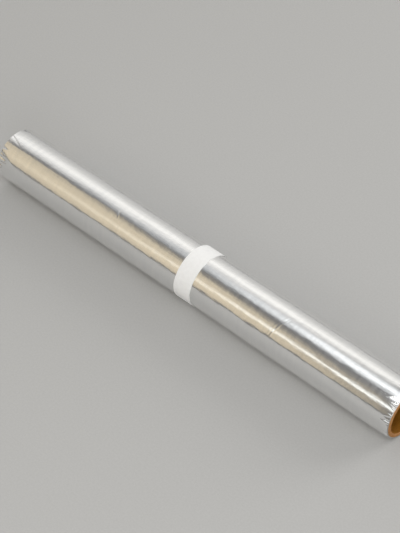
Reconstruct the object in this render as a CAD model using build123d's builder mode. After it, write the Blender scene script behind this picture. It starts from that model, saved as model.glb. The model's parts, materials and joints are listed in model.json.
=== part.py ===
from build123d import *
import os
from math import cos, pi, radians, sin, sqrt

# Household aluminium foil on a cardboard core, closed by a paper band, lying on its side.
# Millimetres. X runs along the roll, +X to the end where the core stands out, and Z is up.
# The origin is under the middle of the roll, in the plane that it lies on.

# Foil sheet
foil_width = 300.0
sheet_length = 10000.0
sheet_thickness = 0.014
free_edge_lift = 0.15
free_edge_angle = -25.0
flat_spot_width = 6.0

# Cardboard core
core_bore = 26.2
core_wall = 2.2
core_length = 300.0
core_stand_out = 0.8
core_edge_break = 0.25

# Paper band
band_width = 12.5
band_paper = 0.12
band_slack = 0.12
band_centre = 1.95
band_overlap_angle = 40.0
band_edge_angle = -15.0

# Crushed ends of the winding
neck_length = 10.0
neck_drop = 0.35
inner_turns_share = 0.20
inner_turns_shift = 0.30
pleat_share = 0.68
pleat_length = 8.0
pleat_half_angle = 5.5
near_pleats = 12
near_pleats_from = 2.0
near_pleats_over = 245.0
far_pleats = 6
far_pleats_from = 128.0
far_pleats_over = 112.0

# Derived sizes
core_radius = core_bore / 2 + core_wall
foil_radius = sqrt(core_radius**2 + sheet_length * sheet_thickness / pi)
winding = foil_radius - core_radius
inner_turns = inner_turns_share * winding
axis_height = sqrt(foil_radius**2 - (flat_spot_width / 2) ** 2)
roll_length = foil_width + core_stand_out
far_x = -roll_length / 2
near_x = far_x + foil_width
core_near_x = roll_length / 2
band_radius = foil_radius + band_slack
band_far_x = band_centre - band_width / 2
reach = 2 * foil_radius

os.makedirs("parts", exist_ok=True)


def across(x):
    """The plane square to the roll at x, centred on its axis: local x is Y, local y is Z."""
    return Plane(origin=(x, 0, axis_height), x_dir=(0, 1, 0), z_dir=(1, 0, 0))


def spiral_turn(radius, fall, start):
    """One turn of a spiral in quarter arcs, closed by the radial step where it starts."""
    quarter = fall / 4
    centre = Vector(0, 0)
    for i in range(4):
        angle = start + 90 * i
        CenterArc(centre, radius - i * quarter, angle, 90)
        centre += Vector(quarter, 0).rotate(Axis.Z, angle + 90)
    edge = Vector(1, 0).rotate(Axis.Z, start)
    Line(edge * (radius - fall), edge * radius)


def varied(i, step):
    """An even but irregular spread of values from 0 to 1."""
    return (i * step + 0.37) % 1.0


def pleat(end_x, inward, i, angle):
    """A crease that deepens from the outside of the roll to the rim, as four corners."""
    length = pleat_length * (0.45 + 0.75 * varied(i, 0.618))
    depth = pleat_share * winding * (0.7 + 0.3 * varied(i, 0.755))
    spread = radians(pleat_half_angle * (0.7 + 0.6 * varied(i, 0.445)))
    skew = spread * (varied(i, 0.569) - 0.5)
    clear = 1 + length
    grown = clear / length

    def corner(x, radius, turn):
        return (x, radius * cos(angle + turn), axis_height + radius * sin(angle + turn))

    rim_x = end_x - inward
    deep = foil_radius - depth * grown
    wide = foil_radius / cos(spread * grown)
    return [
        corner(end_x + inward * length, foil_radius, skew),
        corner(rim_x, wide, -spread * grown),
        corner(rim_x, wide, spread * grown),
        corner(rim_x, deep, 0),
    ]


with BuildPart() as core_tube:
    with BuildSketch(across(core_near_x - core_length)):
        Circle(core_radius)
        Circle(core_bore / 2, mode=Mode.SUBTRACT)
    extrude(amount=core_length)
    chamfer(core_tube.edges().filter_by(GeomType.CIRCLE), core_edge_break)

with BuildPart() as foil_roll:
    # The outermost turn, with its free edge along the back, necked in towards both ends
    stations = [(share * neck_length, neck_drop * (1 - share) ** 2) for share in (0, 0.5, 1)]
    outlines = [(far_x + run, drop) for run, drop in stations]
    outlines += [(near_x - run, drop) for run, drop in reversed(stations)]
    for x, drop in outlines:
        with BuildSketch(across(x)):
            with BuildLine():
                spiral_turn(foil_radius - drop, free_edge_lift, free_edge_angle)
            make_face()
    loft(ruled=True)

    # The innermost turns stand a little further out at the near end than the rest
    for end_x, mode in ((far_x, Mode.SUBTRACT), (near_x, Mode.ADD)):
        with BuildSketch(across(end_x)):
            with BuildLine():
                spiral_turn(core_radius + inner_turns, inner_turns / 3, free_edge_angle)
            make_face()
        extrude(amount=inner_turns_shift, mode=mode)

    # Creases crushed into the rims
    for i in range(near_pleats):
        place = (i + 0.25 * varied(i, 0.382)) / near_pleats
        at = radians(near_pleats_from + near_pleats_over * place)
        ConvexPolyhedron(pleat(near_x, -1, i, at), mode=Mode.SUBTRACT)
    for i in range(far_pleats):
        place = (i + 0.25 * varied(i, 0.382)) / far_pleats
        at = radians(far_pleats_from + far_pleats_over * place)
        ConvexPolyhedron(pleat(far_x, 1, i, at), mode=Mode.SUBTRACT)

    # The hole that the core fills
    with BuildSketch(across(far_x)):
        Circle(core_radius)
    extrude(amount=roll_length, mode=Mode.SUBTRACT)

    # The flat spot underneath, pressed in further where the band lies under it
    with BuildSketch(Plane.XY):
        Rectangle(2 * roll_length, reach)
    extrude(amount=-reach, mode=Mode.SUBTRACT)
    with BuildSketch(Plane.XY.offset(band_paper)):
        with Locations((band_centre, 0)):
            Rectangle(band_width, reach)
    extrude(amount=-reach, mode=Mode.SUBTRACT)

with BuildPart() as paper_band:
    # A loop of one turn and its overlap, lying flat where the roll presses on it
    with BuildSketch(across(band_far_x)):
        with BuildLine():
            outer_end = band_radius + band_paper * (2 + band_overlap_angle / 360)
            spiral_turn(outer_end, band_paper, band_edge_angle)
        make_face()
    extrude(amount=band_width)
    with BuildSketch(Plane.XY):
        Rectangle(2 * roll_length, reach)
    extrude(amount=-reach, mode=Mode.SUBTRACT)
    with BuildSketch(across(band_far_x)) as band_inside:
        with BuildLine():
            inner_end = band_radius + band_paper
            spiral_turn(inner_end, band_paper, band_edge_angle + band_overlap_angle)
        make_face()
        with Locations((0, band_paper - axis_height)):
            Rectangle(2 * reach, 2 * reach, align=(Align.CENTER, Align.MIN), mode=Mode.INTERSECT)
    extrude(band_inside.sketch, amount=band_width, mode=Mode.SUBTRACT)

core_tube.part.label = "core_tube"
foil_roll.part.label = "foil_roll"
paper_band.part.label = "paper_band"

export_step(core_tube.part, "parts/core_tube.step")
export_step(foil_roll.part, "parts/foil_roll.step")
export_step(paper_band.part, "parts/paper_band.step")
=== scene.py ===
import json
import math

import bpy
import numpy as np
from mathutils import Matrix, Vector


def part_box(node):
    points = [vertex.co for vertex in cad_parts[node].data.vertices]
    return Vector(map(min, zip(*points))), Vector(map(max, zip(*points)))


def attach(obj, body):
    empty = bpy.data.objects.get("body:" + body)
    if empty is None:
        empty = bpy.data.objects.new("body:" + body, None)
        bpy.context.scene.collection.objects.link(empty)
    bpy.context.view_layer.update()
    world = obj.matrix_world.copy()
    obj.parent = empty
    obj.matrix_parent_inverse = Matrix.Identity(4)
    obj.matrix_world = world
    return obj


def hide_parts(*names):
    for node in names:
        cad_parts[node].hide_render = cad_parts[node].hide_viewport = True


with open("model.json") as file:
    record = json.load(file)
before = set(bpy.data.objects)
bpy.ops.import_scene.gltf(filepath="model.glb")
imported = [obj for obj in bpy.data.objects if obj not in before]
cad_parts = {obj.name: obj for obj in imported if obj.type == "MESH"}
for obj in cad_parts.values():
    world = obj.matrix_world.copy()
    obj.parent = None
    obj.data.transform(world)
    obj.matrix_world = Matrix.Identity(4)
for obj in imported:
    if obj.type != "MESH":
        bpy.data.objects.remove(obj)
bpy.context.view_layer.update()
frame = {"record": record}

# Metres. X runs along the roll, and angles go round its axis from the back (+Y) over the top.
MM = 0.001
TURN = 2 * math.pi

# Sizes and places that the frame gives
core_low, core_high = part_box("core_tube")
band_low, band_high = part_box("paper_band")
core_bore = next(mount for mount in frame["record"]["mounts"] if mount["name"] == "core_bore")
AXIS_Z = core_bore["pos_m"][2]
BORE_R = core_bore["dims"]["r_mm"] * MM
CORE_R = core_high.y
CORE_FAR_X, CORE_NEAR_X = core_low.x, core_high.x
FAR_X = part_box("foil_roll")[0].x
BAND_CENTRE = (band_low.x + band_high.x) / 2
BAND_WIDTH = band_high.x - band_low.x

# Other sizes of the solids
FOIL_R = 16.693 * MM
NEAR_X = FAR_X + 300 * MM
WINDING = FOIL_R - CORE_R
EDGE_LIFT, EDGE_ANGLE = 0.15 * MM, math.radians(-25)
NECK_LENGTH, NECK_DROP = 10 * MM, 0.35 * MM
CREASE_LENGTH, CREASE_DEPTH, CREASE_HALF_ANGLE = 8 * MM, 0.68 * WINDING, 5.5
NEAR_CREASES = {"count": 12, "first": 2, "over": 245}
FAR_CREASES = {"count": 6, "first": 128, "over": 112}
PAPER = 0.12 * MM
BAND_EDGE_ANGLE, BAND_OVERLAP = math.radians(-15), math.radians(40)

# Near creases that give way to wrinkles of the photograph, and the far end's slighter neck
REPLACED_CREASES = (5, 6, 7)
FAR_NECK_DROP = 0.12 * MM

# Clearance between pieces that touch
CLEARANCE = 0.01 * MM


# Geometry helpers

def smooth(t):
    t = np.clip(t, 0, 1)
    return t * t * (3 - 2 * t)


def wrapped(angle):
    """The same angle, within half a turn of zero."""
    return (angle + math.pi) % TURN - math.pi


def waves(x, around, seed, terms):
    """A gentle field over the roll: each term is (height, length along X, most waves round it)."""
    rng = np.random.default_rng(seed)
    total = np.zeros(np.broadcast(x, around).shape)
    for height, length, most in terms:
        count = rng.integers(-most, most + 1)
        phase, sway_phase = rng.uniform(0, TURN, 2)
        along = TURN * x / length
        sway = 0.6 * np.sin(0.4 * along + sway_phase)
        total += height * np.sin(along + count * around + phase + sway)
    return total


def facets(u, around, seed, cells_round):
    """Flat triangular facets between random heights from 0 to 1, as in crumpled foil."""
    cells_along = 64
    heights = np.random.default_rng(seed).random((cells_along, cells_round))
    v = around / TURN * cells_round
    u = u + 0.33 * np.sin(1.7 * v + 0.8 * u)
    v = v + 0.30 * np.sin(1.3 * u + 0.5)
    i, j = np.floor(u).astype(int), np.floor(v).astype(int)
    fu, fv = u - i, v - j

    def at(di, dj):
        return heights[(i + di) % cells_along, (j + dj) % cells_round]

    flip = (i + j) % 2 == 1
    a, b = np.where(flip, at(1, 0), at(0, 0)), np.where(flip, at(0, 0), at(1, 0))
    c, d = np.where(flip, at(1, 1), at(0, 1)), np.where(flip, at(0, 1), at(1, 1))
    fu = np.where(flip, 1 - fu, fu)
    low = a + fu * (b - a) + fv * (c - a)
    high = d + (1 - fu) * (c - d) + (1 - fv) * (b - d)
    return np.where(fu + fv < 1, low, high)


def on_roll(x, radius, around, lowest=0.0):
    """Points of the roll, pressed flat where they would go below lowest."""
    x, radius, around = np.broadcast_arrays(x, radius, around)
    y, z = radius * np.cos(around), AXIS_Z + radius * np.sin(around)
    return np.stack([x, y, np.maximum(z, lowest)], -1)


def grid_faces(rows, columns, close_rows=True):
    """Quads of a grid of points whose columns close to a ring, and its rows too where close_rows is set."""
    r = np.arange(rows if close_rows else rows - 1)[:, None]
    c = np.arange(columns)[None, :]
    next_r, next_c = (r + 1) % rows, (c + 1) % columns
    corners = [(r, c), (r, next_c), (next_r, next_c), (next_r, c)]
    quads = np.stack(np.broadcast_arrays(*[row * columns + column for row, column in corners]), -1)
    return quads.reshape(-1, 4)


def make_piece(name, points, faces, sharp_angle, uv=None):
    mesh = bpy.data.meshes.new(name)
    mesh.from_pydata(points.reshape(-1, 3).tolist(), [], faces)
    mesh.validate()
    mesh.shade_smooth()
    mesh.set_sharp_from_angle(angle=math.radians(sharp_angle))
    if uv is not None:
        layer = mesh.uv_layers.new(name="sheet")
        index = np.empty(len(mesh.loops), int)
        mesh.loops.foreach_get("vertex_index", index)
        layer.data.foreach_set("uv", uv.reshape(-1, 2)[index].ravel())
    piece = bpy.data.objects.new(name, mesh)
    bpy.context.collection.objects.link(piece)
    return piece


def set_materials(piece, materials, face_rows, columns):
    """Gives each row of a grid's faces the material whose number face_rows holds for it."""
    for mat in materials:
        piece.data.materials.append(mat)
    piece.data.polygons.foreach_set("material_index", np.repeat(face_rows, columns))


# Foil: creases and wrinkles

def varied(i, step):
    """An even but irregular spread of values from 0 to 1, as in the source of the solids."""
    return (i * step + 0.37) % 1.0


def crease_depth(run, around, count, first, over, skip=()):
    """How deep the solid's creases at one rim go below the winding's outside, at a run from that rim."""
    depth = np.zeros(np.broadcast(run, around).shape)
    for i in range(count):
        if i in skip:
            continue
        place = (i + 0.25 * varied(i, 0.382)) / count
        angle = math.radians(first + over * place)
        length = CREASE_LENGTH * (0.45 + 0.75 * varied(i, 0.618))
        most = CREASE_DEPTH * (0.7 + 0.3 * varied(i, 0.755))
        spread = math.radians(CREASE_HALF_ANGLE * (0.7 + 0.6 * varied(i, 0.445)))
        skew = spread * (varied(i, 0.569) - 0.5)
        gone = run / length
        off = np.abs(wrapped(around - angle - skew * np.clip(gone, 0, 1)))
        depth = np.maximum(depth, most * np.clip(1 - gone, 0, None) - most * off / spread)
    return depth


def wrinkle_depth(run, around, wrinkles):
    """How deep wrinkles that run in from a rim go, at a run from that rim.

    Each is (angle at the rim, turn to its tip, half width below it, half width above it, all in degrees,
    then its length and its depth in mm).
    """
    depth = np.zeros(np.broadcast(run, around).shape)
    for angle, turn, below, above, length, most in wrinkles:
        gone = run / (length * MM)
        off = np.degrees(wrapped(around - np.radians(angle + turn * gone)))
        aside = np.where(off < 0, -off / below, off / above)
        depth += most * MM * np.clip(1 - gone - aside, 0, None)
    return depth


def random_wrinkles(seed, angles, halves, lengths, depths):
    """Wrinkles close to the given angles, with their other values drawn from these ranges."""
    rng = np.random.default_rng(seed)
    shifts, turns = (-3, 3), (-6, 6)
    wrinkles = []
    for angle in angles:
        drawn = [rng.uniform(*limits) for limits in (shifts, turns, halves, halves, lengths, depths)]
        wrinkles.append((angle + drawn[0], *drawn[1:]))
    return wrinkles


# Wrinkles read off the photograph, then others all round
NEAR_WRINKLES = [
    (111.5, 10.3, 6.0, 8.0, 8.2, 0.50),
    (121.5, 4.0, 2.5, 4.5, 4.6, 0.28),
    (132.5, -5.0, 3.0, 2.5, 6.6, 0.14),
    (144.5, -1.5, 3.0, 3.5, 4.6, 0.18),
    (152.0, 3.0, 4.0, 4.0, 4.5, 0.26),
    (160.0, 3.0, 3.5, 6.0, 6.5, 0.85),
    (177.0, -3.0, 5.0, 5.0, 7.0, 0.34),
    (195.0, 4.0, 6.0, 6.0, 6.5, 0.40),
    (97.0, -3.0, 4.0, 4.0, 5.0, 0.26),
]
NEAR_WRINKLES += random_wrinkles(41, range(208, 450, 11), (3, 7), (3.5, 9), (0.15, 0.42))
FAR_WRINKLES = [
    (141.0, 5.0, 4.0, 4.0, 6.0, 0.26),
    (151.0, 6.0, 4.0, 4.0, 9.0, 0.34),
    (160.0, -4.0, 3.5, 3.5, 10.0, 0.44),
    (168.0, 5.0, 3.5, 3.5, 11.0, 0.50),
    (177.0, -6.0, 4.0, 4.0, 9.5, 0.54),
    (186.0, 4.0, 3.5, 3.5, 10.0, 0.48),
    (196.0, -4.0, 5.0, 5.0, 8.0, 0.34),
    (205.0, 3.0, 4.0, 4.0, 6.0, 0.30),
]
FAR_WRINKLES += random_wrinkles(43, range(218, 342, 23), (3, 6), (2.5, 6), (0.08, 0.25))
FAR_WRINKLES += random_wrinkles(44, range(342, 445, 23), (3, 6), (2.5, 5), (0.02, 0.07))

# The far end's dent and fold: the line along each, from and to (x in mm, angle)
DENT_LINE = (-147.2, 137.5), (-136.1, 156.3)
FOLD_LINE = (-149.9, 98), (-140.0, 111)

# Creases across the sheet: place in mm along X at 135 degrees, lean in mm for each radian, depth and
# half width in mm, and the angles between which they show
CROSS_CREASES = [
    (-54.3, 6.6, 0.10, 0.50, 95, 127),
    (-53.2, 6.0, 0.03, 0.60, 118, 150),
    (66.6, -5.4, 0.07, 0.65, 92, 192),
    (64.6, -4.4, 0.02, 0.80, 100, 176),
    (68.6, -4.0, 0.04, 0.70, 88, 120),
    (-101.0, 2.0, 0.02, 2.50, 80, 150),
    (28.0, -2.5, 0.02, 2.50, 85, 160),
    (112.0, 1.5, 0.02, 2.50, 70, 140),
    (-20.0, -3.0, 0.02, 2.50, 10, 90),
    (95.0, 4.0, 0.02, 2.50, -10, 80),
]

# The sheet's slight waves, as terms of waves(); together they stay below the band's stand-off
SHEET_WAVES = [
    (0.014 * MM, 0.071, 5),
    (0.011 * MM, 0.043, 7),
    (0.007 * MM, 0.027, 9),
    (0.004 * MM, 0.017, 11),
]


def line_distance(x, around, start, end):
    """How far points of the sheet lie to the front of a line between two places, and their share of it.

    A place is (x in mm, angle in degrees).
    """
    run, rise = (end[0] - start[0]) * MM, math.radians(end[1] - start[1]) * FOIL_R
    length = math.hypot(run, rise)
    dx, ds = x - start[0] * MM, (around - math.radians(start[1])) * FOIL_R
    return (ds * run - dx * rise) / length, (dx * run + ds * rise) / length ** 2


def near_crumple(near, around):
    """How deep the near end is crumpled: wrinkles and two sizes of facets, wider on the front."""
    front = 0.5 - 0.5 * np.cos(around - math.radians(25))
    reach = (4.5 + 3.0 * front) * MM
    crushed = np.clip(1 - near / reach, 0, 1)
    coarse = 0.07 * MM * facets(near / (3.4 * MM), around, seed=5, cells_round=38)
    fine = 0.012 * MM * facets(near / (1.2 * MM) + 7, around, seed=9, cells_round=80)
    return wrinkle_depth(near, around, NEAR_WRINKLES) + crushed * (coarse + fine)


def far_crumple(x, far, around):
    """How deep the far end is crumpled: wrinkles and facets, mostly low on the front, a dent and a fold."""
    low_front = np.exp(-((around - math.radians(178)) / math.radians(34)) ** 2)
    depth = (0.4 + 0.6 * low_front) * wrinkle_depth(far, around, FAR_WRINKLES)
    reach = (2.6 + 8.0 * low_front) * MM
    crushed = np.clip(1 - far / reach, 0, 1)
    height = (0.05 + 0.30 * low_front) * MM
    depth += height * crushed * facets(far / (2.2 * MM), around, seed=12, cells_round=46)

    dent_slope, dent_width = 0.11, 3 * MM
    off, _ = line_distance(x, around, *DENT_LINE)
    ended = smooth((math.radians(222) - around) / 0.4) * smooth((14.5 * MM - far) / (8 * MM))
    depth += dent_slope * np.clip(off, 0, dent_width) * ended

    fold_depth, front_width, back_width = 0.12 * MM, 1.3 * MM, 0.5 * MM
    off, along = line_distance(x, around, *FOLD_LINE)
    fold = np.clip(1 - np.where(off > 0, off / front_width, -off / back_width), 0, 1)
    depth += fold_depth * fold * np.clip(1.15 - along, 0, 1) * (along > -0.2)
    return depth


def cross_crease_depth(x, around):
    fade = 0.25
    depth = np.zeros(np.broadcast(x, around).shape)
    for place, lean, most, half, first, last in CROSS_CREASES:
        off = x - place * MM - lean * MM * (around - math.radians(135))
        shown = smooth((around - math.radians(first)) / fade) * smooth((math.radians(last) - around) / fade)
        depth += most * MM * shown * np.clip(1 - np.abs(off) / (half * MM), 0, 1)
    return depth


def foil_radius(x, around):
    """The outside of the winding: one spiral turn, necked, creased and crumpled at its ends."""
    near, far = NEAR_X - x, x - FAR_X
    wound = EDGE_LIFT * (around - EDGE_ANGLE) / TURN
    drop = np.where(near < far, NECK_DROP, FAR_NECK_DROP)
    neck = drop * np.clip(1 - np.minimum(near, far) / NECK_LENGTH, 0, 1) ** 2
    near_creases = crease_depth(near, around, **NEAR_CREASES, skip=REPLACED_CREASES)
    far_creases = crease_depth(far, around, **FAR_CREASES)
    radius = FOIL_R - np.maximum(wound + neck, np.maximum(near_creases, far_creases))
    radius -= near_crumple(near, around) + far_crumple(x, far, around) + cross_crease_depth(x, around)
    radius += waves(x, around, seed=21, terms=SHEET_WAVES)
    thinnest = 0.08 * MM
    return np.maximum(radius, CORE_R + thinnest)


# Foil: mesh

# Rows of points along X, (first, last, count) in mm, close at the ends and at the sharp creases
FOIL_ROWS = [
    (FAR_X / MM, -138.4, 34),
    (-137, -61, 36),
    (-60, -50, 31),
    (-48.5, 58.5, 50),
    (60, 71.5, 36),
    (73, 134.5, 30),
    (135.6, NEAR_X / MM, 48),
]
FOIL_COLUMNS = 320

# The free edge isn't quite straight: (most in radians, length along X, phase)
EDGE_WANDER = [(0.012, 0.019, 0.7), (0.008, 0.0061, 0.0), (0.004, 0.0027, 2.0)]

# The ends show this many groups of turns, with ragged edges
TURNS_SHOWN = 4.0
RAGGED_EDGE = [(0.04 * MM, 0.011, 9), (0.03 * MM, 0.005, 17), (0.03 * MM, 0.003, 31)]


def end_rings(rim, around, seed):
    """The edges of the turns at one end, from the rim in to the core: radii, and how far they stand out."""
    share = np.linspace(0, 1, 13)[1:-1, None]
    ring = rim + (CORE_R + CLEARANCE - rim) * share
    turns = TURNS_SHOWN * (ring - CORE_R) / WINDING + around / TURN
    whole = np.floor(turns)
    ragged = waves(around * 0.01, around + 9 * whole, seed, RAGGED_EDGE)
    return ring, 0.06 * MM + 0.05 * MM * (turns - whole) ** 2 + 0.5 * ragged


def build_foil():
    """The winding as one closed grid: outside, near end, inside on the core, and far end."""
    edge_gap = 0.05 * MM
    share = np.linspace(0, 1, FOIL_COLUMNS)[None, :]
    base = EDGE_ANGLE + (TURN - edge_gap / FOIL_R) * share
    x = MM * np.concatenate([np.linspace(*stretch) for stretch in FOIL_ROWS])[:, None]

    wander = sum(most * np.sin(x / length + phase) for most, length, phase in EDGE_WANDER)
    loose_share = 0.02
    around = base + wander * np.exp(-share / loose_share)
    radius = foil_radius(x, around)
    under_band = np.abs(x - BAND_CENTRE) <= 0.5 * BAND_WIDTH + 0.6 * MM
    outside = on_roll(x, radius, around, np.where(under_band, PAPER + CLEARANCE, 0.0))

    far_rim, near_rim = radius[:1], radius[-1:]
    far_around, near_around = around[:1], around[-1:]
    near_ring, near_stand = end_rings(near_rim, near_around, seed=31)
    far_ring, far_stand = end_rings(far_rim, near_around, seed=33)
    inner_height, inner_shift = 0.22 * WINDING, 0.28 * MM
    inner_turns = inner_shift * smooth((CORE_R + inner_height - near_ring) / (0.05 * MM))
    near_end = on_roll(NEAR_X - 0.1 * MM + near_stand + inner_turns, near_ring, near_around)
    far_end = on_roll(FAR_X + 0.02 * MM + far_stand, far_ring, far_around)[::-1]
    inner_x = np.linspace(NEAR_X, FAR_X + 0.3 * MM, 4)[:, None]
    inside = on_roll(inner_x, CORE_R + CLEARANCE, near_around)
    points = np.concatenate([outside, near_end, inside, far_end])

    def sheet_uv(along):
        return np.stack(np.broadcast_arrays(along, base * FOIL_R), -1)

    uv = np.concatenate([
        sheet_uv(x),
        sheet_uv(NEAR_X + near_rim - near_ring),
        sheet_uv(inner_x),
        sheet_uv(FAR_X - far_rim + far_ring)[::-1],
    ])
    faces = grid_faces(len(points), FOIL_COLUMNS)[:, ::-1].tolist()
    roll = make_piece("foil", points, faces, sharp_angle=50, uv=uv)
    edges = np.zeros(len(points), int)
    edges[len(outside) - 1:len(outside) + len(near_end)] = 1
    edges[-len(far_end) - 1:] = 1
    set_materials(roll, [foil_material(), foil_edge_material()], edges, FOIL_COLUMNS)
    return roll


# Paper band

STAND_OFF = 0.04 * MM
BAND_SAG = [(0.022 * MM, 0.043, 1), (0.018 * MM, 0.023, 2), (0.012 * MM, 0.011, 2)]
BAND_CUT = [(0.05 * MM, 0.031, 0), (0.03 * MM, 0.012, 0), (0.012 * MM, 0.0031, 0)]


def build_band():
    """One turn and its overlap, from the outer end to the inner end that lies under it."""
    around = np.linspace(BAND_EDGE_ANGLE, BAND_EDGE_ANGLE + TURN + BAND_OVERLAP, 380)[:, None]
    across = np.linspace(-0.5, 0.5, 19)[None, :]

    # The paper bridges the step at the foil's free edge
    bridged_from = 0.94
    lap = (around - EDGE_ANGLE) / TURN % 1.0
    bridge = bridged_from * (1 - lap) / (1 - bridged_from)
    under = FOIL_R - EDGE_LIFT * np.where(lap > bridged_from, bridge, lap)
    layers = 2 - smooth((around - BAND_EDGE_ANGLE - BAND_OVERLAP) / math.radians(30))

    def lift(angle, width, side, height):
        """A stretch of one edge that stands off the foil."""
        past_middle = 0.15
        near = np.exp(-((around - math.radians(angle)) / math.radians(width)) ** 2)
        return height * MM * near * np.clip(side * across + past_middle, 0, None) / (0.5 + past_middle)

    lifts = lift(50, 12, 1, 0.06) + lift(230, 18, 1, 0.08) + lift(205, 30, -1, 0.05)
    curl = 0.16 * MM * np.exp(-(around - BAND_EDGE_ANGLE) / math.radians(4))
    sag = np.abs(waves(around * 0.01, across * 2, seed=3, terms=BAND_SAG))
    radius = under + PAPER * layers + STAND_OFF + lifts + curl + sag
    cut = waves(around * 0.01, 0 * across, seed=8, terms=BAND_CUT)
    x = BAND_CENTRE + across * (BAND_WIDTH - 0.25 * MM) + cut
    top = on_roll(x, radius, around)
    below = on_roll(x, radius - PAPER, around, PAPER)[:, ::-1]
    points = np.concatenate([top, below], axis=1)
    rows, columns = points.shape[:2]
    outer_end = list(range(columns))
    inner_end = [(rows - 1) * columns + i for i in reversed(outer_end)]
    faces = grid_faces(rows, columns, False).tolist() + [outer_end, inner_end]
    width = np.concatenate([across, across[:, ::-1]], axis=1) * BAND_WIDTH
    uv = np.stack(np.broadcast_arrays(width, around * FOIL_R), -1)
    strip = make_piece("band", points, faces, sharp_angle=40, uv=uv)
    strip.data.materials.append(paper_material())
    return strip


# Cardboard core

PLIES = 5
STEPS_IN_PLY = 4
GROOVE_DEPTH, EDGE_BREAK = 0.16 * MM, 0.22 * MM
SEAM_PITCH, SEAM_HALF_ANGLE, SEAM_DEPTH = 88 * MM, 0.016, 0.14 * MM
CUT_FUZZ = [(0.5, 0.0031, 13), (0.4, 0.0017, 29), (0.4, 0.0011, 43)]


def build_core():
    """The tube as one closed grid of rings, whose points follow the helical seam inside it."""
    gaps = np.array([-2.2, -1.2, -1.0, 1.0, 1.2, 2.2]) * SEAM_HALF_ANGLE
    base = np.concatenate([gaps, np.linspace(gaps[-1], TURN + gaps[0], 186)[1:-1]])
    in_seam = np.abs(base) <= 1.05 * SEAM_HALF_ANGLE

    def ring(x, radius, fuzz=0.0):
        return on_roll(x + fuzz, radius, base + TURN * x / SEAM_PITCH)

    def cut_end(end_x, inward, first_r, last_r, seed):
        """One end of the tube, with a groove at each joint between plies and its edges broken."""
        steps = PLIES * STEPS_IN_PLY
        rings = []
        for k in range(steps + 1):
            share = k / steps
            radius = first_r + (last_r - first_r) * (0.04 + 0.92 * share)
            groove = GROOVE_DEPTH if k % STEPS_IN_PLY == 0 else 0.0
            edge = EDGE_BREAK * abs(2 * share - 1) ** 4
            fuzz = 0.05 * MM * waves(base * 0.01, base, seed + k // STEPS_IN_PLY, CUT_FUZZ)
            rings.append(ring(end_x + inward * (0.06 * MM + groove + edge), radius, fuzz))
        return rings

    outer = [ring(x, CORE_R) for x in np.linspace(CORE_FAR_X + 0.25 * MM, CORE_NEAR_X - 0.45 * MM, 5)]
    near_cut = cut_end(CORE_NEAR_X, -1, CORE_R, BORE_R, seed=40)
    from_end = np.array([0.45, 1.5]) * MM
    bore_x = np.concatenate([
        CORE_NEAR_X - from_end,
        np.linspace(CORE_NEAR_X - 4 * MM, CORE_FAR_X + 4 * MM, 96),
        CORE_FAR_X + from_end[::-1],
    ])
    bore = [ring(x, BORE_R + np.where(in_seam, SEAM_DEPTH, 0.0)) for x in bore_x]
    far_cut = cut_end(CORE_FAR_X, 1, BORE_R, CORE_R, seed=60)
    points = np.stack(outer + near_cut + bore + far_cut)
    faces = grid_faces(len(points), len(base))[:, ::-1].tolist()
    tube = make_piece("core", points, faces, sharp_angle=50)
    cut = np.zeros(len(points), int)
    cut[:len(outer) + len(near_cut)] = 1
    cut[-len(far_cut) - 1:] = 1
    materials = [board_material("board_lining", LINING), board_material("board_cut", CUT_EDGE)]
    set_materials(tube, materials, cut, len(base))
    return tube


# Material helpers

def material(name):
    mat = bpy.data.materials.new(name)
    mat.use_nodes = True
    return mat, mat.node_tree, mat.node_tree.nodes["Principled BSDF"]


def sheet_place(tree):
    """Where a point lies on the flat sheet in metres: u along X and v round the roll."""
    node = tree.nodes.new("ShaderNodeUVMap")
    node.uv_map = "sheet"
    return node.outputs["UV"]


def object_place(tree):
    return tree.nodes.new("ShaderNodeTexCoord").outputs["Object"]


def noise(tree, source, scale, detail, roughness):
    """Noise with so many cells to the metre: one number, or one for each axis."""
    if isinstance(scale, tuple):
        mapping = tree.nodes.new("ShaderNodeMapping")
        mapping.inputs["Scale"].default_value = scale
        tree.links.new(source, mapping.inputs["Vector"])
        source, scale = mapping.outputs["Vector"], 1.0
    node = tree.nodes.new("ShaderNodeTexNoise")
    node.inputs["Scale"].default_value = scale
    node.inputs["Detail"].default_value = detail
    node.inputs["Roughness"].default_value = roughness
    tree.links.new(source, node.inputs["Vector"])
    return node.outputs["Fac"]


def ramp(tree, source, stops):
    """A colour ramp, whose stops are (place, colour) or (place, level of grey)."""
    node = tree.nodes.new("ShaderNodeValToRGB")
    while len(node.color_ramp.elements) < len(stops):
        node.color_ramp.elements.new(0.5)
    for element, (place, colour) in zip(node.color_ramp.elements, stops):
        element.position = place
        element.color = (*colour, 1.0) if isinstance(colour, tuple) else (colour, colour, colour, 1.0)
    tree.links.new(source, node.inputs["Fac"])
    return node.outputs["Color"]


def calc(tree, operation, *values):
    """A Math node, whose values are sockets or numbers."""
    node = tree.nodes.new("ShaderNodeMath")
    node.operation = operation
    for socket, value in zip(node.inputs, values):
        if isinstance(value, (int, float)):
            socket.default_value = value
        else:
            tree.links.new(value, socket)
    return node.outputs["Value"]


def bump(tree, height, strength, distance, base=None):
    node = tree.nodes.new("ShaderNodeBump")
    node.inputs["Strength"].default_value = strength
    node.inputs["Distance"].default_value = distance
    tree.links.new(height, node.inputs["Height"])
    if base is not None:
        tree.links.new(base, node.inputs["Normal"])
    return node.outputs["Normal"]


# Materials

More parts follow.
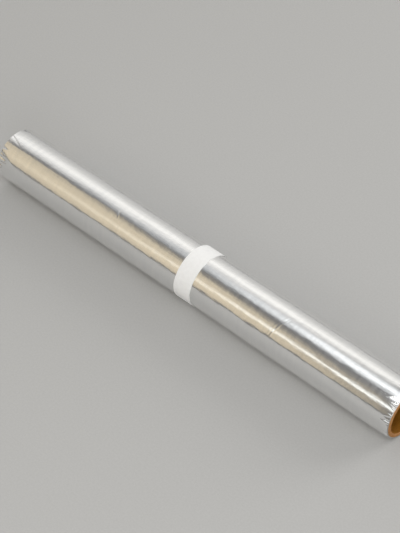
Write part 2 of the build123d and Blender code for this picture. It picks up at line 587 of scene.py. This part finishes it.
def foil_material():
    mat, tree, shader = material("foil_bright_rolled")
    place = sheet_place(tree)

    # Rolling lines run along the sheet, so round the roll
    lines = noise(tree, place, (1500.0, 45.0, 1.0), detail=4.0, roughness=0.6)
    soft = noise(tree, place, (420.0, 40.0, 1.0), detail=3.0, roughness=0.5)
    tone = ramp(tree, soft, [(0.3, (0.885, 0.885, 0.885)), (0.7, (0.925, 0.922, 0.915))])
    tree.links.new(tone, shader.inputs["Base Color"])
    gloss = ramp(tree, lines, [(0.25, 0.12), (0.8, 0.23)])
    tree.links.new(gloss, shader.inputs["Roughness"])
    shader.inputs["Metallic"].default_value = 1.0
    shader.inputs["Anisotropic"].default_value = 0.55
    tangent = tree.nodes.new("ShaderNodeTangent")
    tangent.direction_type = "UV_MAP"
    tangent.uv_map = "sheet"
    tree.links.new(tangent.outputs["Tangent"], shader.inputs["Tangent"])

    # Slight dents, drawn out along the roll, and small ripples
    dents = noise(tree, place, (70.0, 300.0, 1.0), detail=2.0, roughness=0.5)
    ripples = noise(tree, place, (330.0, 420.0, 1.0), detail=2.0, roughness=0.5)
    normal = bump(tree, lines, strength=0.10, distance=0.03 * MM)
    normal = bump(tree, soft, strength=0.04, distance=0.1 * MM, base=normal)
    normal = bump(tree, dents, strength=0.35, distance=0.25 * MM, base=normal)
    normal = bump(tree, ripples, strength=0.16, distance=0.25 * MM, base=normal)
    tree.links.new(normal, shader.inputs["Normal"])
    return mat


def foil_edge_material():
    """The cut edges of the turns, packed side by side."""
    mat, tree, shader = material("foil_edges")
    turns = noise(tree, sheet_place(tree), (9000.0, 60.0, 1.0), detail=4.0, roughness=0.6)
    tone = ramp(tree, turns, [(0.3, (0.42, 0.40, 0.37)), (0.7, (0.70, 0.69, 0.67))])
    tree.links.new(tone, shader.inputs["Base Color"])
    gloss = ramp(tree, turns, [(0.25, 0.5), (0.8, 0.36)])
    tree.links.new(gloss, shader.inputs["Roughness"])
    shader.inputs["Metallic"].default_value = 1.0
    normal = bump(tree, turns, strength=0.3, distance=0.05 * MM)
    tree.links.new(normal, shader.inputs["Normal"])
    return mat


def paper_material():
    mat, tree, shader = material("paper_white")
    place = sheet_place(tree)
    fibres = noise(tree, place, 2600.0, detail=5.0, roughness=0.65)
    cloud = noise(tree, place, 420.0, detail=3.0, roughness=0.5)
    tone = ramp(tree, cloud, [(0.25, (0.88, 0.875, 0.87)), (0.75, (0.93, 0.93, 0.925))])
    tree.links.new(tone, shader.inputs["Base Color"])
    shader.inputs["Roughness"].default_value = 0.62
    shader.inputs["Specular IOR Level"].default_value = 0.35
    normal = bump(tree, cloud, strength=0.12, distance=0.1 * MM)
    normal = bump(tree, fibres, strength=0.25, distance=0.04 * MM, base=normal)
    tree.links.new(normal, shader.inputs["Normal"])
    return mat


LINING = [(0.28, (0.18, 0.068, 0.004)), (0.5, (0.28, 0.113, 0.007)), (0.75, (0.38, 0.17, 0.016))]
CUT_EDGE = [(0.28, (0.32, 0.145, 0.048)), (0.5, (0.43, 0.21, 0.078)), (0.75, (0.53, 0.285, 0.12))]


def board_material(name, tones):
    mat, tree, shader = material(name)
    place = object_place(tree)
    fibres = noise(tree, place, (1500.0, 420.0, 420.0), detail=6.0, roughness=0.65)
    cloud = noise(tree, place, 160.0, detail=3.0, roughness=0.6)
    mixed = calc(tree, "MULTIPLY_ADD", fibres, 0.6, calc(tree, "MULTIPLY", cloud, 0.4))
    tree.links.new(ramp(tree, mixed, tones), shader.inputs["Base Color"])
    shader.inputs["Roughness"].default_value = 0.78
    shader.inputs["Specular IOR Level"].default_value = 0.25
    normal = bump(tree, fibres, strength=0.35, distance=0.1 * MM)
    tree.links.new(normal, shader.inputs["Normal"])
    return mat


FLOOR_TONE = (0.46, 0.458, 0.452)


def floor_material():
    mat, tree, shader = material("floor_pale")
    place = object_place(tree)
    grain = noise(tree, place, 900.0, detail=3.0, roughness=0.5)
    tone = ramp(tree, grain, [(0.3, FLOOR_TONE), (0.7, (0.49, 0.488, 0.482))])
    tree.links.new(tone, shader.inputs["Base Color"])
    shader.inputs["Roughness"].default_value = 0.8
    shader.inputs["Specular IOR Level"].default_value = 0.2

    # Out of the lamps' reach the floor stays as pale as it is round the roll
    away = tree.nodes.new("ShaderNodeVectorMath")
    away.operation = "LENGTH"
    tree.links.new(place, away.inputs[0])
    reach = tree.nodes.new("ShaderNodeMapRange")
    reach.interpolation_type = "SMOOTHSTEP"
    reach.inputs["From Min"].default_value = 0.7
    reach.inputs["From Max"].default_value = 1.6
    tree.links.new(away.outputs["Value"], reach.inputs["Value"])
    rays = tree.nodes.new("ShaderNodeLightPath")
    seen = rays.outputs["Is Camera Ray"]
    for kind in ("Is Glossy Ray", "Is Transmission Ray"):
        seen = calc(tree, "MAXIMUM", seen, rays.outputs[kind])
    pale = tree.nodes.new("ShaderNodeEmission")
    pale.inputs["Color"].default_value = (*FLOOR_TONE, 1.0)
    mix = tree.nodes.new("ShaderNodeMixShader")
    tree.links.new(calc(tree, "MULTIPLY", reach.outputs["Result"], seen), mix.inputs["Fac"])
    tree.links.new(shader.outputs["BSDF"], mix.inputs[1])
    tree.links.new(pale.outputs["Emission"], mix.inputs[2])
    tree.links.new(mix.outputs["Shader"], tree.nodes["Material Output"].inputs["Surface"])
    return mat


# Pieces

foil, band, core = build_foil(), build_band(), build_core()
for piece, node, slot in (
    (foil, "foil_roll", "foil"),
    (band, "paper_band", "white_paper"),
    (core, "core_tube", "kraft_board"),
):
    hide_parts(node)
    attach(piece, "root")

# Stage

bpy.ops.mesh.primitive_plane_add(size=40)
floor = bpy.context.object
floor.name = "floor"
floor.data.materials.append(floor_material())

world = bpy.data.worlds.new("studio")
bpy.context.scene.world = world
world.use_nodes = True
background = world.node_tree.nodes["Background"]
background.inputs["Color"].default_value = (0.14, 0.14, 0.14, 1.0)
background.inputs["Strength"].default_value = 1.0


# Light

def toward(turn, height, distance):
    """A place round the roll: turn from the back towards +X and height above the floor, in degrees."""
    turn, height = math.radians(turn), math.radians(height)
    flat = distance * math.cos(height)
    return flat * math.sin(turn), flat * math.cos(turn), AXIS_Z + distance * math.sin(height)


def lamp(name, location, along, across, radiance, colour):
    """A soft panel that faces the middle of the roll."""
    light = bpy.data.lights.new(name, "AREA")
    light.shape = "RECTANGLE"
    light.size, light.size_y = along, across
    light.color = colour
    light.energy = radiance * math.pi * along * across
    panel = bpy.data.objects.new(name, light)
    panel.location = location
    facing = Vector(location) - Vector((0, 0, AXIS_Z))
    panel.rotation_euler = facing.to_track_quat("Z", "Y").to_euler()
    panel.visible_camera = False
    bpy.context.collection.objects.link(panel)
    return panel


def reflector(name, angles, distance, span, radiance, colour, profile, ends, lean=0.0, toward_end=0):
    """A panel over a span of X that the foil mirrors, between two angles over the roll.

    The angles go from the front horizon over the top. The panel fades from the first to the last as profile
    says, and along X as ends says. Along X, lean draws the profile in towards the first angle, or towards
    the last one where toward_end is 1.
    """
    middle, half = math.radians(sum(angles) / 2), math.radians((angles[1] - angles[0]) / 2)
    out, along = Vector((0, -math.cos(middle), math.sin(middle))), Vector((1, 0, 0))
    place = Vector((sum(span) / 2, 0, AXIS_Z)) + distance * out
    panel = lamp(name, place, span[1] - span[0], 2 * distance * math.tan(half), radiance, colour)
    panel.rotation_euler = Matrix((along, out.cross(along), out)).transposed().to_euler()
    panel.data.use_nodes = True
    tree = panel.data.node_tree
    split = tree.nodes.new("ShaderNodeSeparateXYZ")
    tree.links.new(tree.nodes.new("ShaderNodeNewGeometry").outputs["Parametric"], split.inputs["Vector"])
    grow = calc(tree, "MULTIPLY_ADD", split.outputs["X"], lean / (1 + lean), 1 / (1 + lean))
    offset = calc(tree, "SUBTRACT", split.outputs["Y"], toward_end)
    spot = calc(tree, "MULTIPLY_ADD", offset, grow, toward_end)
    fade = calc(tree, "MULTIPLY", ramp(tree, spot, profile), ramp(tree, split.outputs["X"], ends))
    tree.links.new(fade, tree.nodes["Emission"].inputs["Strength"])


reflector(
    "softbox_back", angles=(80, 178), distance=1.1, span=(-1.3, 0.3),
    radiance=1.1, colour=(1.0, 0.985, 0.95),
    profile=[(0.42, 0.0), (0.465, 0.18), (0.495, 0.47), (0.525, 0.64), (0.555, 0.75), (0.59, 0.88),
             (0.61, 0.9), (0.655, 0.74), (0.695, 0.63), (0.735, 0.55), (0.82, 0.44), (0.925, 0.4),
             (1.0, 0.39)],
    ends=[(0.2, 0.9), (0.35, 0.95), (0.5, 1.0), (0.55, 1.0), (0.62, 0.94), (1.0, 0.9)],
    lean=0.77, toward_end=1,
)
reflector(
    "strip_top", angles=(72, 116), distance=0.95, span=(-0.85, 0.35),
    radiance=1.2, colour=(0.96, 0.985, 1.0),
    profile=[(0.0, 0.0), (0.08, 0.1), (0.21, 0.48), (0.35, 0.92), (0.48, 1.0), (0.61, 0.88), (0.75, 0.45),
             (0.9, 0.06), (1.0, 0.0)],
    ends=[(0.06, 0.0), (0.21, 0.24), (0.345, 0.36), (0.413, 0.78), (0.48, 1.0), (0.62, 1.0), (0.8, 0.35),
          (1.0, 0.2)],
)
reflector(
    "panel_front", angles=(5, 76), distance=1.35, span=(-1.6, -0.1),
    radiance=0.67, colour=(1.0, 0.828, 0.55),
    profile=[(0.0, 0.8), (0.1, 0.9), (0.21, 1.0), (0.3, 1.0), (0.39, 0.88), (0.43, 0.84), (0.465, 0.89),
             (0.49, 0.88), (0.51, 0.68), (0.53, 0.46), (0.57, 0.2), (0.61, 0.07), (0.68, 0.0)],
    ends=[(0.0, 0.80), (0.35, 0.83), (0.5, 0.90), (0.705, 0.93), (0.722, 0.5), (0.745, 0.3), (0.79, 0.27),
          (0.88, 0.2), (1.0, 0.1)],
    lean=2.0,
)
reflector(
    "panel_far", angles=(74, 98), distance=1.1, span=(-1.7, -0.98),
    radiance=0.62, colour=(1.0, 0.95, 0.86),
    profile=[(0.0, 0.6), (0.5, 1.0), (1.0, 0.6)],
    ends=[(0.0, 1.0), (0.75, 0.8), (1.0, 0.0)],
)
reflector(
    "strip_front", angles=(25, 44), distance=1.25, span=(-0.95, 0.15),
    radiance=1.15, colour=(0.96, 1.0, 1.0),
    profile=[(0.0, 0.0), (0.14, 0.2), (0.26, 0.85), (0.36, 1.0), (0.52, 1.0), (0.66, 0.68), (0.8, 0.33),
             (1.0, 0.0)],
    ends=[(0.0, 0.03), (0.08, 0.1), (0.19, 0.11), (0.315, 0.25), (0.36, 0.28), (0.41, 0.48), (0.45, 0.58),
          (0.49, 0.65), (0.53, 0.87), (0.6, 1.0), (0.8, 0.9), (1.0, 0.4)],
)

WARM_WHITE = (1.0, 0.99, 0.97)
key_back, key_top, fill_right = toward(28, 24, 1.4), toward(150, 58, 1.2), toward(135, 22, 1.4)
lamp("key_back", key_back, along=0.7, across=0.7, radiance=5.0, colour=WARM_WHITE)
lamp("key_top", key_top, along=0.6, across=0.6, radiance=4.6, colour=(1.0, 1.0, 0.99))
lamp("fill_right", fill_right, along=0.7, across=0.5, radiance=4.5, colour=WARM_WHITE)
for name, end_x in (("end_far", -2.2), ("end_near", 2.2)):
    lamp(name, (end_x, 0, 0.75), along=2.2, across=1.5, radiance=0.55, colour=WARM_WHITE)

# Camera, fitted to the roll's outline in the photograph

CAMERA_PLACE = (0.48773, -0.52602, 0.75858)
CAMERA_AZIMUTH, CAMERA_ELEVATION = math.radians(42.79), math.radians(45.72)
camera_data = bpy.data.cameras.new("camera")
camera_data.sensor_fit = "VERTICAL"
camera_data.sensor_height = 36
camera_data.lens = 122.43
camera = bpy.data.objects.new("camera", camera_data)
level = math.cos(CAMERA_ELEVATION)
back = Vector((
    math.sin(CAMERA_AZIMUTH) * level,
    -math.cos(CAMERA_AZIMUTH) * level,
    math.sin(CAMERA_ELEVATION),
))
camera.location = CAMERA_PLACE
camera.rotation_euler = (-back).to_track_quat("-Z", "Y").to_euler()
bpy.context.collection.objects.link(camera)
bpy.context.scene.camera = camera
bpy.context.scene.view_settings.view_transform = "Standard"
